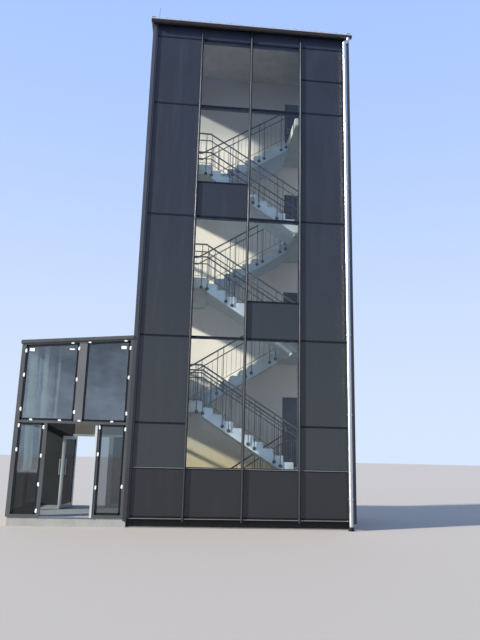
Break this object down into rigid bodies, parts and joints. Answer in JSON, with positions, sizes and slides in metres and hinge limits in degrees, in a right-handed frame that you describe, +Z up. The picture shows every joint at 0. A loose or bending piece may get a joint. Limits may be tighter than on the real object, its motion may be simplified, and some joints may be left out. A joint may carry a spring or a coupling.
{
  "type": "fire escape stair tower",
  "caption": "Enclosed escape stair tower with a glazed panel front, concrete flights and landings inside, and a glazed entrance porch at its left.",
  "frame": {"origin": "on the ground under the middle of the tower's own plan, the porch left out", "axes": "+Z up, +Y from the glazed front towards the rear wall, +X to the right along the front"},
  "size_m": [8.195, 3.263, 13.86],
  "materials": {
    "concrete": "fair-faced concrete, a little rough",
    "plinth": "black sealing sheet over insulation",
    "frame_metal": "dark grey powder coat, satin",
    "panel": "anthracite coated sheet, satin",
    "glazing": "clear double glazing with a grey-green cast",
    "fascia": "dark coated sheet, satin",
    "render": "cream render, fine grain",
    "door_paint": "dark blue-grey coat, satin",
    "roof_sheet": "grey coated sheet",
    "zinc": "bright new zinc sheet",
    "bracket_metal": "brownish coated steel strap",
    "stair_concrete": "smooth cast concrete, pale blue-grey",
    "landing_concrete": "smooth cast concrete, pale grey-green",
    "rail_steel": "dark grey coat, satin",
    "porch_metal": "dark grey-brown coat, satin",
    "porch_glazing": "clear double glazing",
    "light_metal": "light grey coat, satin",
    "handle_steel": "brushed stainless steel"
  },
  "bodies": {
    "tower": {"base_slab": "concrete", "plinth_band": "plinth", "front_mullions": "frame_metal", "front_transoms": "frame_metal", "left_bay_panels": "panel", "right_bay_panels": "panel", "centre_panels": "panel", "front_glass": "glazing", "fascia_panels": "fascia", "left_wall_frame": "frame_metal", "left_wall_panels": "panel", "left_wall_glass": "glazing", "right_wall_frame": "frame_metal", "right_wall_panels": "panel", "right_wall_glass": "glazing", "back_wall": "render", "landing_doors": "door_paint", "landing_door_frames": "door_paint", "roof": "roof_sheet", "gutter": "zinc", "gutter_brackets": "bracket_metal", "downpipe": "zinc", "downpipe_clamps": "zinc", "lightning_rod": "zinc", "flight_1": "stair_concrete", "flight_2": "stair_concrete", "flight_3": "stair_concrete", "flight_4": "stair_concrete", "flight_5": "stair_concrete", "flight_6": "stair_concrete", "flight_7": "stair_concrete", "floor_landings": "landing_concrete", "half_landings": "landing_concrete", "front_railings": "rail_steel", "well_railings_near": "rail_steel", "well_railings_far": "rail_steel", "porch_slab": "concrete", "porch_front_frame": "porch_metal", "porch_side_frame": "porch_metal", "porch_glass": "porch_glazing", "porch_roof": "roof_sheet", "porch_back_wall": "render", "inner_screen": "light_metal", "inner_screen_glass": "porch_glazing"},
    "inner_door": {"inner_door": "light_metal", "inner_door_glass": "porch_glazing", "inner_door_handle": "handle_steel"}
  },
  "joints": [
    {"name": "inner_door_hinge", "type": "hinge", "parent": "tower", "child": "inner_door", "pos_m": [-4.44, 1.275, 1.15], "axis": [0, 0, 1], "range_deg": [0, 100]}
  ]
}
